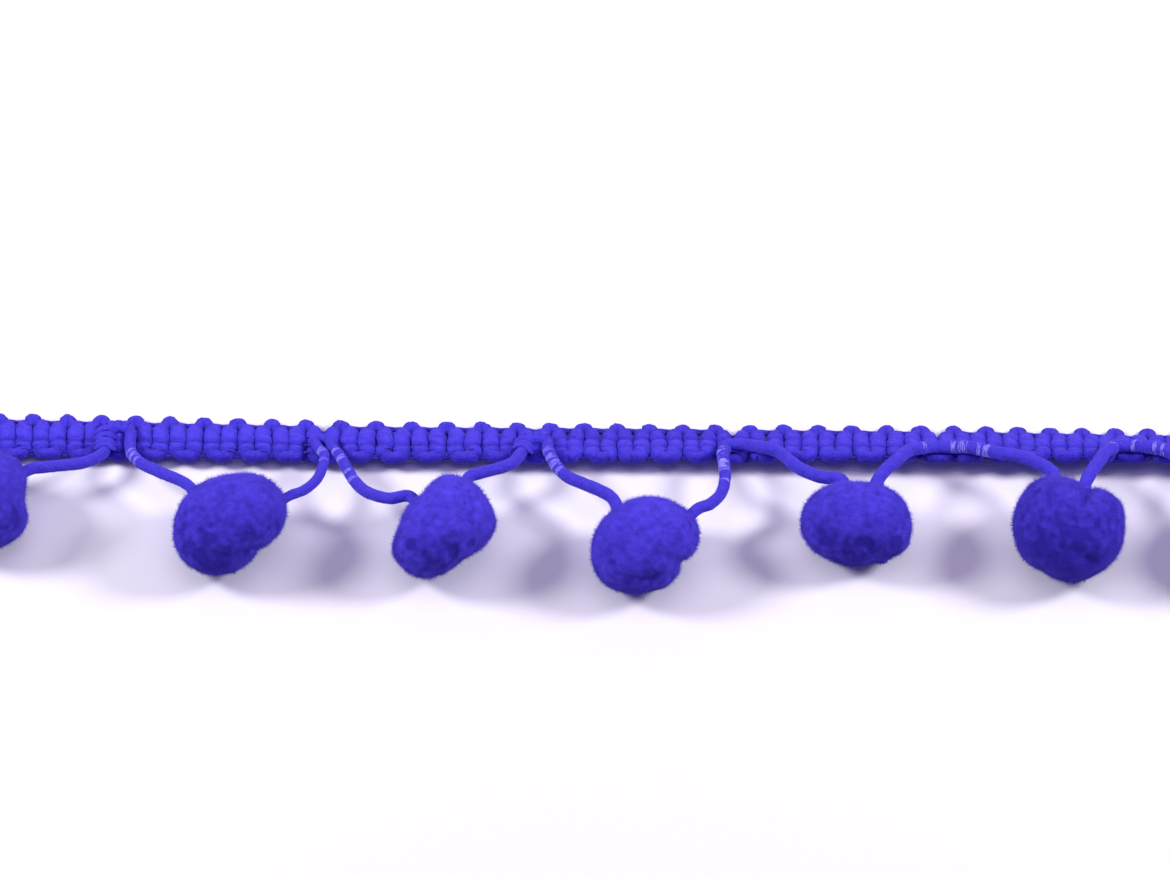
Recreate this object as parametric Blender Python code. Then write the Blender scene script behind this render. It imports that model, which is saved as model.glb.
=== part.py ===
"""A cut length of pompom fringe trim, lying on a flat surface.

A narrow knitted heading tape carries one continuous cord.  The cord climbs on to the face of the tape
once in every repeat, and between those places it runs out through the middle of a pompom.

Frame: X along the tape, Y across it with the heading at +Y and the pompoms at -Y, Z up from the surface.
All sizes below are in millimetres, and MM turns them into metres.
"""
import math
from collections import namedtuple

import bmesh
import bpy
from mathutils import Vector, noise

MM = 0.001

# ---------------------------------------------------------------- heading tape
LOOP_SPAN = 3.70          # from the middle of the far loops to the middle of the near loops
LOOP_RADIUS = 0.63        # half the thickness of the thick filling yarn
STITCHES_PER_REPEAT = 6   # far-edge loops between one cord crossing and the next
END_STITCHES = 2          # whole stitches past the first and the last crossing
COLUMNS_PER_STITCH = 6    # mesh columns along one stitch
TILT_MIDDLE = 18.8        # degrees by which the near edge is lifted, at X = 0
TILT_PER_MM = 0.21        # the tape rolls up slowly towards +X
TAPE_HALF = 0.60          # half thickness of the tape over its ribs
RIB_DEPTH = 0.24          # grooves between neighbouring ribs
CHAIN_DEPTH = 0.22        # grooves along the two chains of stitches
FAR_CHAIN = 1.34          # and where the chains lie, measured from the far loops
NEAR_CHAIN = 2.60
SEAT_DEPTH = 0.35         # the tape is squeezed under the cord
SEAT_HALF_LENGTH = 2.3

# ---------------------------------------------------------------- cord
CORD_RADIUS = 0.58
CORD_SIDES = 6
CORD_STEP = 1.25          # spacing of the rings along the cord
CURVE_STEPS = 8           # curve points between two guide points
GAP = 0.30                # clearance between neighbouring pieces
FOOT_REACH = 4.82         # where the cord leaves the near edge, measured from the far loops
FOOT_LIFT = 1.09          # and how far it stands off the tape there
BEND_ACROSS = 0.55        # where a leg bends on its way from the top of a crossing to its foot
BEND_ALONG = 0.45
KNOT_HALF = 1.2           # half the straight stretch bound inside a pompom

# x and far_y place the far loops there; the feet and tops are those of the two legs of the cord
Crossing = namedtuple("Crossing", "x far_y left_foot left_top right_top right_foot climb")
CROSSINGS = [
    Crossing(x=-64.15, far_y=10.40, left_foot=None, left_top=-65.0, right_top=-63.8, right_foot=-63.4, climb=1.4),
    Crossing(x=-45.58, far_y=9.95, left_foot=-46.8, left_top=-46.5, right_top=-44.6, right_foot=-44.3, climb=1.7),
    Crossing(x=-27.07, far_y=9.44, left_foot=-26.9, left_top=-27.8, right_top=-26.6, right_foot=-25.6, climb=2.6),
    Crossing(x=-7.95, far_y=9.18, left_foot=-9.2, left_top=-8.7, right_top=-6.9, right_foot=-6.6, climb=2.65),
    Crossing(x=9.92, far_y=8.95, left_foot=9.0, left_top=9.4, right_top=11.1, right_foot=14.0, climb=3.3),
    Crossing(x=28.50, far_y=8.76, left_foot=25.8, left_top=27.8, right_top=29.9, right_foot=32.6, climb=3.8),
    Crossing(x=45.92, far_y=8.42, left_foot=43.6, left_top=44.4, right_top=46.2, right_foot=48.8, climb=3.5),
    Crossing(x=64.19, far_y=8.07, left_foot=62.9, left_top=63.4, right_top=65.0, right_foot=None, climb=1.7),
]

# The way of each leg from the tape to its pompom: x, y and z.
LEFT_LEGS = [
    [(-62.7, 3.6, 3.1), (-61.2, 2.3, 4.0)],
    [(-43.4, 3.8, 3.0), (-41.6, 2.5, 3.4), (-38.9, 0.5, 4.0)],
    [(-24.9, 3.2, 3.2), (-24.1, 1.5, 3.4), (-23.0, 0.2, 3.6), (-21.0, -0.7, 3.9), (-19.1, -0.7, 4.2)],
    [(-5.9, 3.0, 3.5), (-5.0, 1.9, 3.6), (-3.6, 1.0, 3.8), (-2.1, 0.1, 4.0), (-0.9, -0.9, 4.1)],
    [(15.8, 2.6, 4.0), (17.7, 1.4, 4.3), (19.7, 0.7, 4.6)],
    [(34.2, 4.0, 4.2), (35.8, 3.6, 4.3), (37.6, 2.6, 4.5), (38.7, 1.4, 4.7)],
    [(51.5, 2.6, 4.3), (53.3, 0.5, 4.5)],
]
RIGHT_LEGS = [
    [(-48.4, 3.9, 3.0), (-50.1, 3.3, 3.4), (-51.9, 2.8, 3.8), (-53.4, 2.3, 4.1)],
    [(-27.0, 3.3, 3.2), (-27.5, 1.7, 3.5), (-28.6, 0.3, 3.8), (-30.0, -0.6, 4.1)],
    [(-9.9, 3.5, 3.5), (-11.0, 2.8, 3.7), (-12.7, 2.1, 3.9), (-13.9, 1.4, 4.1)],
    [(9.1, 3.4, 3.7), (9.2, 1.6, 3.8), (8.8, -0.2, 3.9), (7.8, -1.4, 4.0), (6.7, -2.0, 4.1)],
    [(24.7, 3.4, 4.1), (23.6, 2.1, 4.3), (22.7, 0.3, 4.5)],
    [(42.9, 3.2, 4.3), (42.3, 2.1, 4.5), (41.5, 0.2, 4.7)],
    [(62.1, 1.8, 4.4), (60.1, -0.6, 4.5)],
]

# ---------------------------------------------------------------- pompoms
POMPOM_FREQUENCY = 6      # divisions of each icosahedron edge
FLAT_SPOT = 0.25          # how much the resting side is pressed in
BORE_BEYOND = 1.5         # how far the cord's hole is cut past the pile
LOCKS_PER_POMPOM = 40
LOCK_LENGTH = 0.30
LOCK_TAPER = 0.60         # size of a lock's tip against its root
LOCK_CLEAR_OF_CORD = 2.0
LOCK_CLEAR_OF_FLOOR = 1.0
LUMP_HEIGHT = 0.07        # as a share of the radius
LUMP_SCALE = 2.1
VIEW_TILT = 55.0          # clock angles are read while looking down at this angle

# rim: how far the pile reaches in the camera's view, in 30 degree steps from the right, anticlockwise
Pompom = namedtuple("Pompom", "x y width depth height rim")
POMPOMS = [
    Pompom(x=-58.4, y=-0.9, width=10.0, depth=9.9, height=9.2,
           rim=(4.80, 5.45, 5.00, 4.85, 4.90, 5.00, 5.00, 4.90, 4.85, 5.00, 5.30, 5.58)),
    Pompom(x=-35.3, y=-4.0, width=10.7, depth=9.8, height=9.0,
           rim=(4.95, 5.68, 5.46, 4.78, 4.70, 4.90, 5.10, 5.28, 4.94, 4.34, 3.70, 3.85)),
    Pompom(x=-16.1, y=-4.1, width=10.2, depth=10.2, height=9.2,
           rim=(4.82, 4.76, 4.86, 4.70, 3.62, 3.76, 4.08, 5.28, 5.24, 4.30, 3.50, 4.05)),
    Pompom(x=2.1, y=-6.0, width=10.2, depth=9.5, height=8.4,
           rim=(4.66, 5.12, 4.80, 4.62, 4.50, 4.74, 5.08, 5.22, 4.88, 4.26, 4.00, 3.74)),
    Pompom(x=20.9, y=-3.7, width=10.3, depth=7.9, height=7.9,
           rim=(5.10, 4.92, 4.50, 4.20, 4.55, 4.95, 5.08, 4.48, 3.76, 3.60, 3.74, 4.88)),
    Pompom(x=40.1, y=-4.4, width=10.6, depth=10.2, height=9.3,
           rim=(4.98, 5.20, 4.60, 4.66, 5.42, 5.40, 5.28, 5.12, 4.72, 4.86, 4.78, 4.92)),
    Pompom(x=57.2, y=-4.1, width=10.2, depth=9.6, height=9.1,
           rim=(5.10, 5.00, 4.80, 4.70, 4.90, 5.05, 5.10, 5.00, 4.80, 4.70, 4.80, 5.00)),
]

# A cleft parts the pile, and one of negative depth is a tuft that stands out.
# clock: 0 is right, 90 is up; toward: degrees towards the eye; run: turn of the line.
Cleft = namedtuple("Cleft", "pompom clock toward run depth width length")
CLEFTS = [
    Cleft(pompom=0, clock=205, toward=20, run=30, depth=0.10, width=0.20, length=0.6),
    Cleft(pompom=1, clock=-42, toward=5, run=0, depth=0.06, width=0.13, length=0.9),
    Cleft(pompom=1, clock=-70, toward=55, run=60, depth=0.08, width=0.16, length=0.5),
    Cleft(pompom=2, clock=40, toward=50, run=50, depth=0.08, width=0.15, length=0.5),
    Cleft(pompom=3, clock=-25, toward=5, run=0, depth=0.08, width=0.15, length=0.8),
    Cleft(pompom=3, clock=-80, toward=50, run=80, depth=0.08, width=0.16, length=0.5),
    Cleft(pompom=4, clock=60, toward=45, run=20, depth=0.08, width=0.15, length=0.5),
    Cleft(pompom=4, clock=-59, toward=5, run=0, depth=-0.10, width=0.12, length=0.15),
    Cleft(pompom=5, clock=70, toward=20, run=0, depth=0.20, width=0.17, length=0.9),
    Cleft(pompom=5, clock=-65, toward=55, run=20, depth=0.10, width=0.15, length=0.4),
    Cleft(pompom=6, clock=-35, toward=10, run=0, depth=0.12, width=0.20, length=0.8),
    Cleft(pompom=6, clock=120, toward=40, run=40, depth=0.09, width=0.18, length=0.6),
]

# ---------------------------------------------------------------- materials
BLUE = (0.058, 0.030, 0.580, 1.0)
DEEP_BLUE = (0.042, 0.022, 0.440, 1.0)
CLOTH_ROUGHNESS = 0.9
SHARP_ANGLE = math.radians(50)


def mix(a, b, share):
    return a + (b - a) * share


def remove_all_objects():
    for item in list(bpy.data.objects):
        bpy.data.objects.remove(item, do_unlink=True)


def yarn_material(name, colour):
    material = bpy.data.materials.new(name)
    material.use_nodes = True
    shader = material.node_tree.nodes["Principled BSDF"]
    shader.inputs["Base Color"].default_value = colour
    shader.inputs["Roughness"].default_value = CLOTH_ROUGHNESS
    shader.inputs["Metallic"].default_value = 0.0
    return material


def add_object(name, mesh_data, material):
    """Turns a bmesh in millimetres into a named object in metres."""
    bmesh.ops.scale(mesh_data, vec=(MM, MM, MM), verts=mesh_data.verts)
    bmesh.ops.recalc_face_normals(mesh_data, faces=mesh_data.faces)
    mesh = bpy.data.meshes.new(name)
    mesh_data.to_mesh(mesh)
    mesh_data.free()
    mesh.shade_smooth()
    mesh.set_sharp_from_angle(angle=SHARP_ANGLE)
    if material:
        mesh.materials.append(material)
    item = bpy.data.objects.new(name, mesh)
    bpy.context.scene.collection.objects.link(item)
    return item


def skin_rings(mesh_data, rings):
    """Joins closed rings of points into one capped skin."""
    rows = [[mesh_data.verts.new(point) for point in ring] for ring in rings]
    count = len(rows[0])
    for here, there in zip(rows, rows[1:]):
        for i in range(count):
            j = (i + 1) % count
            mesh_data.faces.new((here[i], here[j], there[j], there[i]))
    mesh_data.faces.new(rows[0][::-1])
    mesh_data.faces.new(rows[-1])


# ---------------------------------------------------------------- heading tape
def tape_tilt(x):
    return math.radians(TILT_MIDDLE + TILT_PER_MM * x)


def far_axis(x):
    """The middle of the far loops: Y and Z.  The far edge rests on the surface."""
    after = next((i for i, c in enumerate(CROSSINGS) if c.x > x), len(CROSSINGS) - 1)
    start, end = CROSSINGS[max(after - 1, 0)], CROSSINGS[after]
    share = min(max((x - start.x) / max(end.x - start.x, 1.0), 0.0), 1.0)
    tilt = tape_tilt(x)
    height = TAPE_HALF * math.cos(tilt) - 0.1 * math.sin(tilt)
    return mix(start.far_y, end.far_y, share), height


def tape_point(x, across, lift):
    """across runs from the far loops to the near ones, and lift stands off the tape's mid surface."""
    tilt = tape_tilt(x)
    y, z = far_axis(x)
    y += -across * math.cos(tilt) + lift * math.sin(tilt)
    z += across * math.sin(tilt) + lift * math.cos(tilt)
    return Vector((x, y, max(z, 0.0)))


def stitch_place(stitch):
    """X of a stitch number: stitch 0 is the first crossing, and a repeat fills the way to the next."""
    repeat = min(max(int(stitch // STITCHES_PER_REPEAT), 0), len(CROSSINGS) - 2)
    start, end = CROSSINGS[repeat].x, CROSSINGS[repeat + 1].x
    return start + (end - start) * (stitch / STITCHES_PER_REPEAT - repeat)


def seat_share(x):
    """1 under the cord at a crossing, 0 away from it."""
    nearest = min(abs(x - (c.left_top + c.right_top) / 2) for c in CROSSINGS)
    share = max(0.0, 1.0 - nearest / SEAT_HALF_LENGTH)
    return min(1.0, 2.0 * share)


def tape_ring(stitch):
    """The tape's cross-section at a stitch.  Far loops stand at half stitches, near loops at whole ones."""
    x = stitch_place(stitch)
    turn = 2 * math.pi * stitch
    far_loop = max(0.0, -math.cos(turn)) ** 0.5 if math.cos(turn) < 0 else 0.0
    near_loop = (0.5 + 0.5 * math.cos(turn)) ** 0.6
    rib = abs(math.sin(turn)) ** 0.5
    pressed = seat_share(x)
    seat = SEAT_DEPTH * pressed
    top = TAPE_HALF - max(RIB_DEPTH * (1 - rib), seat)
    chain = top - CHAIN_DEPTH * (1 - pressed)
    # (across, lift) corners: the far loop, the face with its two chains, the near loop and the back.
    section = [
        (mix(-0.08, -LOOP_RADIUS, far_loop), 0.0),
        (mix(0.25, -0.40, far_loop), mix(0.30, 0.52, far_loop) - 0.5 * seat),
        (0.76, top),
        (FAR_CHAIN, chain),
        (1.97, top),
        (NEAR_CHAIN, chain),
        (3.14, top),
        (LOOP_SPAN + mix(-0.05, 0.25, near_loop), mix(0.30, 0.48, near_loop) - seat),
        (LOOP_SPAN + mix(0.15, LOOP_RADIUS, near_loop), 0.0),
        (LOOP_SPAN + mix(0.05, 0.38, near_loop), -0.50),
    ]
    ring = [tape_point(x, across, lift) for across, lift in section]
    for across in (0.75, -0.1 - 0.25 * far_loop):
        resting = tape_point(x, across, -TAPE_HALF)
        resting.z = 0.0
        ring.append(resting)
    return ring


def make_tape(material):
    first = -END_STITCHES
    last = STITCHES_PER_REPEAT * (len(CROSSINGS) - 1) + END_STITCHES
    columns = (last - first) * COLUMNS_PER_STITCH
    mesh_data = bmesh.new()
    skin_rings(mesh_data, [tape_ring(first + i / COLUMNS_PER_STITCH) for i in range(columns + 1)])
    return add_object("heading_tape", mesh_data, material)


# ---------------------------------------------------------------- cord
def on_tape(x, across):
    """The middle of the cord where it lies on the tape's face."""
    lift = TAPE_HALF - SEAT_DEPTH * seat_share(x) + GAP + CORD_RADIUS
    return tape_point(x, across, lift)


def foot_on_tape(x):
    """The middle of the cord where it leaves the tape's near edge."""
    return tape_point(x, FOOT_REACH, FOOT_LIFT)


def crossing_points(crossing):
    """The cord's way up the tape's face, over, and down again."""
    points = []
    bend = mix(crossing.climb, FOOT_REACH, BEND_ACROSS)
    if crossing.left_foot is not None:
        points.append(foot_on_tape(crossing.left_foot))
        points.append(on_tape(mix(crossing.left_top, crossing.left_foot, BEND_ALONG), bend))
    points.append(on_tape(crossing.left_top, crossing.climb))
    points.append(on_tape(crossing.right_top, crossing.climb))
    if crossing.right_foot is not None:
        points.append(on_tape(mix(crossing.right_top, crossing.right_foot, BEND_ALONG), bend))
        points.append(foot_on_tape(crossing.right_foot))
    return points


def pompom_centre(pompom):
    return Vector((pompom.x, pompom.y, pompom.height / 2 - FLAT_SPOT))


def cord_route():
    """The cord's guide points from its first cut end to its last."""
    points = crossing_points(CROSSINGS[0])
    for pompom, left, right, following in zip(POMPOMS, LEFT_LEGS, RIGHT_LEGS, CROSSINGS[1:]):
        centre = pompom_centre(pompom)
        points += [Vector(place) for place in left]
        points += [centre - Vector((KNOT_HALF, 0, 0)), centre + Vector((KNOT_HALF, 0, 0))]
        points += [Vector(place) for place in reversed(right)]
        points += crossing_points(following)
    return points


def curve_through(points, steps_per_span):
    """A centripetal Catmull-Rom curve through the points."""
    ends = [points[0] * 2 - points[1]] + points + [points[-1] * 2 - points[-2]]
    curve = []
    for a, b, c, d in zip(ends, ends[1:], ends[2:], ends[3:]):
        t1 = (b - a).length ** 0.5
        t2 = t1 + (c - b).length ** 0.5
        t3 = t2 + (d - c).length ** 0.5
        for i in range(steps_per_span):
            t = mix(t1, t2, i / steps_per_span)
            ab, bc, cd = mix(a, b, t / t1), mix(b, c, (t - t1) / (t2 - t1)), mix(c, d, (t - t2) / (t3 - t2))
            abc, bcd = mix(ab, bc, t / t2), mix(bc, cd, (t - t1) / (t3 - t1))
            curve.append(mix(abc, bcd, (t - t1) / (t2 - t1)))
    curve.append(points[-1])
    return curve


def even_steps(curve, step):
    """The same curve with points about one step apart."""
    lengths = [0.0]
    for a, b in zip(curve, curve[1:]):
        lengths.append(lengths[-1] + (b - a).length)
    count = round(lengths[-1] / step)
    spaced, i = [], 0
    for k in range(count + 1):
        goal = lengths[-1] * k / count
        while i < len(curve) - 2 and lengths[i + 1] < goal:
            i += 1
        share = (goal - lengths[i]) / (lengths[i + 1] - lengths[i])
        spaced.append(mix(curve[i], curve[i + 1], min(share, 1.0)))
    return spaced


def tube_rings(path, radius, sides):
    """Rings across a path, carried along it without twist and mitred at its bends."""
    directions = [(b - a).normalized() for a, b in zip(path, path[1:])]
    rings = []
    side = directions[0].orthogonal().normalized()
    for i, point in enumerate(path):
        before = directions[max(i - 1, 0)]
        after = directions[min(i, len(directions) - 1)]
        along = (before + after).normalized()
        side = (side - along * side.dot(along)).normalized()
        other = along.cross(side)
        turns = [2 * math.pi * k / sides for k in range(sides)]
        rings.append([point + radius * (side * math.cos(t) + other * math.sin(t)) for t in turns])
    return rings


def make_cord(path, material):
    mesh_data = bmesh.new()
    skin_rings(mesh_data, tube_rings(path, CORD_RADIUS, CORD_SIDES))
    return add_object("carrier_cord", mesh_data, material)


# ---------------------------------------------------------------- pompoms
def seen_direction(clock, toward):
    """A unit direction from a clock angle in the picture and a lean towards the eye."""
    view, clock, toward = math.radians(VIEW_TILT), math.radians(clock), math.radians(toward)
    up = Vector((0, math.sin(view), math.cos(view)))
    eye = Vector((0, -math.cos(view), math.sin(view)))
    flat = Vector((1, 0, 0)) * math.cos(clock) + up * math.sin(clock)
    return flat * math.cos(toward) + eye * math.sin(toward)


def periodic_curve(values, place):
    """A smooth closed curve through evenly spaced values, at a place counted in steps."""
    step = math.floor(place)
    t = place - step
    a, b, c, d = (values[(step + k) % len(values)] for k in (-1, 0, 1, 2))
    return b + 0.5 * t * (c - a + t * (2 * a - 5 * b + 4 * c - d + t * (3 * (b - c) + d - a)))


def rim_share(direction, pompom, lump):
    """The share of the plain ball's reach that gives the pompom its rim in the camera's view."""
    view = math.radians(VIEW_TILT)
    toward = direction.dot(seen_direction(0, 90))
    clock = math.atan2(direction.dot(seen_direction(90, 0)), direction.x)
    reach = periodic_curve(pompom.rim, clock / (2 * math.pi) * len(pompom.rim))
    high_half = math.hypot(pompom.depth / 2 * math.sin(view), pompom.height / 2 * math.cos(view))
    plain = 1 / math.hypot(math.cos(clock) / (pompom.width / 2), math.sin(clock) / high_half)
    return mix(1 + LUMP_HEIGHT * lump, reach / plain, 1 - toward * toward)


def cleft_depth(direction, cleft):
    middle = seen_direction(cleft.clock, cleft.toward)
    if direction.dot(middle) <= 0:
        return 0.0
    lean = seen_direction(cleft.clock, cleft.toward + 90)
    side = middle.cross(lean)
    run = math.radians(cleft.run)
    line = lean * math.cos(run) + side * math.sin(run)
    cross = middle.cross(line)
    along = math.atan2(direction.dot(line), direction.dot(middle)) / cleft.length
    across = math.atan2(direction.dot(cross), direction.dot(middle)) / cleft.width
    return cleft.depth * math.exp(-along * along - across * across)


def pompom_surface(index, direction):
    """Where the trimmed pile of a pompom ends, in a direction from its middle."""
    pompom = POMPOMS[index]
    lump = noise.noise(direction * LUMP_SCALE + Vector((7.0 * index, 0, 0)))
    share = rim_share(direction, pompom, lump)
    share -= sum(cleft_depth(direction, c) for c in CLEFTS if c.pompom == index)
    half = Vector((pompom.width, pompom.depth, pompom.height)) / 2
    point = pompom_centre(pompom) + Vector(d * h * share for d, h in zip(direction, half))
    point.z = max(point.z, 0.0)
    return point


def spiral_directions(count, start):
    """Directions spread evenly over a sphere along a golden-angle spiral."""
    golden = math.pi * (3 - 5 ** 0.5)
    for k in range(count):
        z = 1 - (2 * k + 1) / count
        ring = math.sqrt(1 - z * z)
        yield Vector((ring * math.cos(golden * k + start), ring * math.sin(golden * k + start), z))


def lock_roots(mesh_data, index, cord_path):
    """Opens one four-sided face for each lock, clear of the cord and of the resting side."""
    centre = pompom_centre(POMPOMS[index])
    middles = {edge: (edge.verts[0].co + edge.verts[1].co) / 2 for edge in mesh_data.edges}
    chosen, used = [], set()
    for direction in spiral_directions(LOCKS_PER_POMPOM, start=index):
        edge = max(middles, key=lambda e: (middles[e] - centre).normalized().dot(direction))
        middle = middles[edge]
        clear = min((middle - point).length for point in cord_path) > LOCK_CLEAR_OF_CORD
        if clear and middle.z > LOCK_CLEAR_OF_FLOOR and used.isdisjoint(edge.link_faces):
            used.update(edge.link_faces)
            chosen.append(edge)
    bmesh.ops.dissolve_edges(mesh_data, edges=chosen)
    return [face for face in mesh_data.faces if len(face.verts) == 4]


def grow_locks(mesh_data, index, cord_path):
    """Pulls four-sided locks of pile out of the ball, with their roots fused to it."""
    centre = pompom_centre(POMPOMS[index])
    roots = lock_roots(mesh_data, index, cord_path)
    grown = bmesh.ops.extrude_discrete_faces(mesh_data, faces=roots)["faces"]
    for face in grown:
        middle = face.calc_center_median()
        outward = (middle - centre).normalized()
        for vert in face.verts:
            vert.co = mix(middle, vert.co, LOCK_TAPER) + outward * LOCK_LENGTH
    bmesh.ops.triangulate(mesh_data, faces=mesh_data.faces)


def pompom_bore(name, cord_path, pompom):
    """The hole that the cord fills, as a cutter along the cord's own path."""
    centre = pompom_centre(pompom)
    reach = 0.5 * pompom.width + BORE_BEYOND
    inside = [point for point in cord_path if (point - centre).length < reach]
    radius = (CORD_RADIUS + GAP) / math.cos(math.pi / CORD_SIDES)
    mesh_data = bmesh.new()
    skin_rings(mesh_data, tube_rings(inside, radius, CORD_SIDES))
    cutter = add_object(name, mesh_data, None)
    cutter.hide_render = True
    cutter.display_type = "WIRE"
    return cutter


def make_pompom(index, cord_path, material):
    mesh_data = bmesh.new()
    bmesh.ops.create_icosphere(mesh_data, subdivisions=1, radius=1.0)
    bmesh.ops.subdivide_edges(mesh_data, edges=mesh_data.edges, cuts=POMPOM_FREQUENCY - 1, use_grid_fill=True)
    bmesh.ops.triangulate(mesh_data, faces=mesh_data.faces)
    for vert in mesh_data.verts:
        vert.co = pompom_surface(index, vert.co.normalized())
    grow_locks(mesh_data, index, cord_path)
    ball = add_object(f"pompom_{index + 1}", mesh_data, material)
    bore = ball.modifiers.new("cord hole", "BOOLEAN")
    bore.operation = "DIFFERENCE"
    bore.solver = "EXACT"
    bore.object = pompom_bore(f"bore_{index + 1}", cord_path, POMPOMS[index])
    return ball


def main():
    remove_all_objects()
    tape_yarn = yarn_material("tape yarn", BLUE)
    cord_yarn = yarn_material("cord yarn", BLUE)
    pile_yarn = yarn_material("pompom pile", DEEP_BLUE)
    make_tape(tape_yarn)
    path = even_steps(curve_through(cord_route(), CURVE_STEPS), CORD_STEP)
    make_cord(path, cord_yarn)
    for index in range(len(POMPOMS)):
        make_pompom(index, path, pile_yarn)


main()
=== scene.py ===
import math

import bpy
import numpy as np
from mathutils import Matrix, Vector, noise


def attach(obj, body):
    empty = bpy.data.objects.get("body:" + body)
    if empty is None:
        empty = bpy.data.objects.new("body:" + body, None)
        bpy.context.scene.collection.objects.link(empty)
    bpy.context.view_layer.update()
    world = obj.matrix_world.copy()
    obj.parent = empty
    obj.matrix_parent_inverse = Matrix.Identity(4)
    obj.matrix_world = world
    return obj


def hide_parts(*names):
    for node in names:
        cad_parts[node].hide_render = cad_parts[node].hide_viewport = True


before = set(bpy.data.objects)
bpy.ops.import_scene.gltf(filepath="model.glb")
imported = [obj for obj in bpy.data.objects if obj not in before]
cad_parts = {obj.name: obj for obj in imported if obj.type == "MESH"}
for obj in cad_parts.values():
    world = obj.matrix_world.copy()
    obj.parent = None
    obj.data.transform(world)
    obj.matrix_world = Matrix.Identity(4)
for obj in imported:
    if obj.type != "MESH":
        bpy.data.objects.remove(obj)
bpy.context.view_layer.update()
print("frame loaded:", len(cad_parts), "nodes")

mm = 0.001          # everything below is in millimetres, and mm turns it into metres
body = "root"       # cloth has no joints, so the whole trim is one body
floorGap = 0.01     # no point of the trim lies nearer to the floor
hairRound = 0.35    # how far a hair shades as a round thread, and not as the skin it stands on
seeds = {"cord": 11, "whips": 12, "fillingPath": 21, "filling": 22, "pompoms": 40}   # of random draws


def mix(a, b, share):
    return a + (b - a) * share


def smooth(share):
    share = np.clip(share, 0.0, 1.0)
    return share * share * (3 - 2 * share)


def unit(vectors):
    return vectors / np.maximum(np.linalg.norm(vectors, axis=-1, keepdims=True), 1e-9)


# centripetal curve through rows of numbers: the first three are the place, the rest ride along
def curveThrough(rows, stepsPerSpan):
    rows = np.asarray(rows, float)
    ends = np.vstack([2 * rows[0] - rows[1], rows, 2 * rows[-1] - rows[-2]])
    curve = []
    for a, b, c, d in zip(ends, ends[1:], ends[2:], ends[3:]):
        t1 = np.linalg.norm((b - a)[:3]) ** 0.5
        t2 = t1 + np.linalg.norm((c - b)[:3]) ** 0.5
        t3 = t2 + np.linalg.norm((d - c)[:3]) ** 0.5
        for i in range(stepsPerSpan):
            t = mix(t1, t2, i / stepsPerSpan)
            ab = mix(a, b, t / t1)
            bc = mix(b, c, (t - t1) / (t2 - t1))
            cd = mix(c, d, (t - t2) / (t3 - t2))
            abc = mix(ab, bc, t / t2)
            bcd = mix(bc, cd, (t - t1) / (t3 - t1))
            curve.append(mix(abc, bcd, (t - t1) / (t2 - t1)))
    curve.append(rows[-1])
    return np.array(curve)


# the same curve with its points a steady step apart
def evenSteps(curve, step):
    lengths = np.concatenate([[0], np.cumsum(np.linalg.norm(np.diff(curve[:, :3], axis=0), axis=1))])
    count = max(2, int(round(lengths[-1] / step)))
    goals = np.linspace(0, lengths[-1], count + 1)
    return np.stack([np.interp(goals, lengths, column) for column in curve.T], axis=1)


def tangents(path):
    return unit(np.gradient(path, axis=0))


# frames carried along a path without twist
def carriedFrames(path):
    along = tangents(path)
    side = unit(np.cross(along[0], [0.1, 0.3, 1.0]))      # any direction that the path doesn't take
    sides = []
    for direction in along:
        side = unit(side - direction * side.dot(direction))
        sides.append(side)
    sides = np.array(sides)
    return sides, np.cross(along, sides)


# fine strands laid round a tube: a ripple per ring and corner that winds along with the twist
def strandRipple(rings, corners, twist, ringsPerChange, depth, rng):
    changes = rings // ringsPerChange + 2
    strands = rng.normal(0, depth, (changes, corners))
    place = np.arange(rings) / ringsPerChange
    before = place.astype(int)
    blend = smooth(place - before)[:, None]
    seat = (np.arange(corners)[None, :] - twist[:, None] * corners / (2 * np.pi)) % corners
    left = np.floor(seat).astype(int) % corners
    right = (left + 1) % corners
    share = seat - np.floor(seat)
    first = mix(strands[before[:, None], left], strands[before[:, None], right], share)
    second = mix(strands[before[:, None] + 1, left], strands[before[:, None] + 1, right], share)
    return mix(first, second, blend)


# closed tube: sideOut and upOut are its half widths at each ring, ripple is a share per ring and corner,
# and a boxy of 2 gives a round section, more a squarer one
def tubeSkin(path, sides, ups, sideOut, upOut, corners, ripple=None, boxy=2.0):
    turns = np.linspace(0, 2 * np.pi, corners, endpoint=False)
    section = (np.abs(np.cos(turns)) ** boxy + np.abs(np.sin(turns)) ** boxy) ** (-1 / boxy)
    grow = np.tile(section, (len(path), 1)) * (1 if ripple is None else 1 + ripple)
    ring = (path[:, None]
            + sides[:, None] * (np.cos(turns)[None, :] * sideOut[:, None] * grow)[..., None]
            + ups[:, None] * (np.sin(turns)[None, :] * upOut[:, None] * grow)[..., None])
    points = ring.reshape(-1, 3)
    first = np.arange(len(path) - 1)[:, None] * corners
    here = np.arange(corners)[None, :]
    there = (here + 1) % corners
    quads = [first + here, first + there, first + corners + there, first + corners + here]
    faces = np.stack(quads, axis=-1).reshape(-1, 4).tolist()
    faces.append(list(range(corners))[::-1])
    faces.append(list(range(len(points) - corners, len(points))))
    return points, faces


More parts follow.
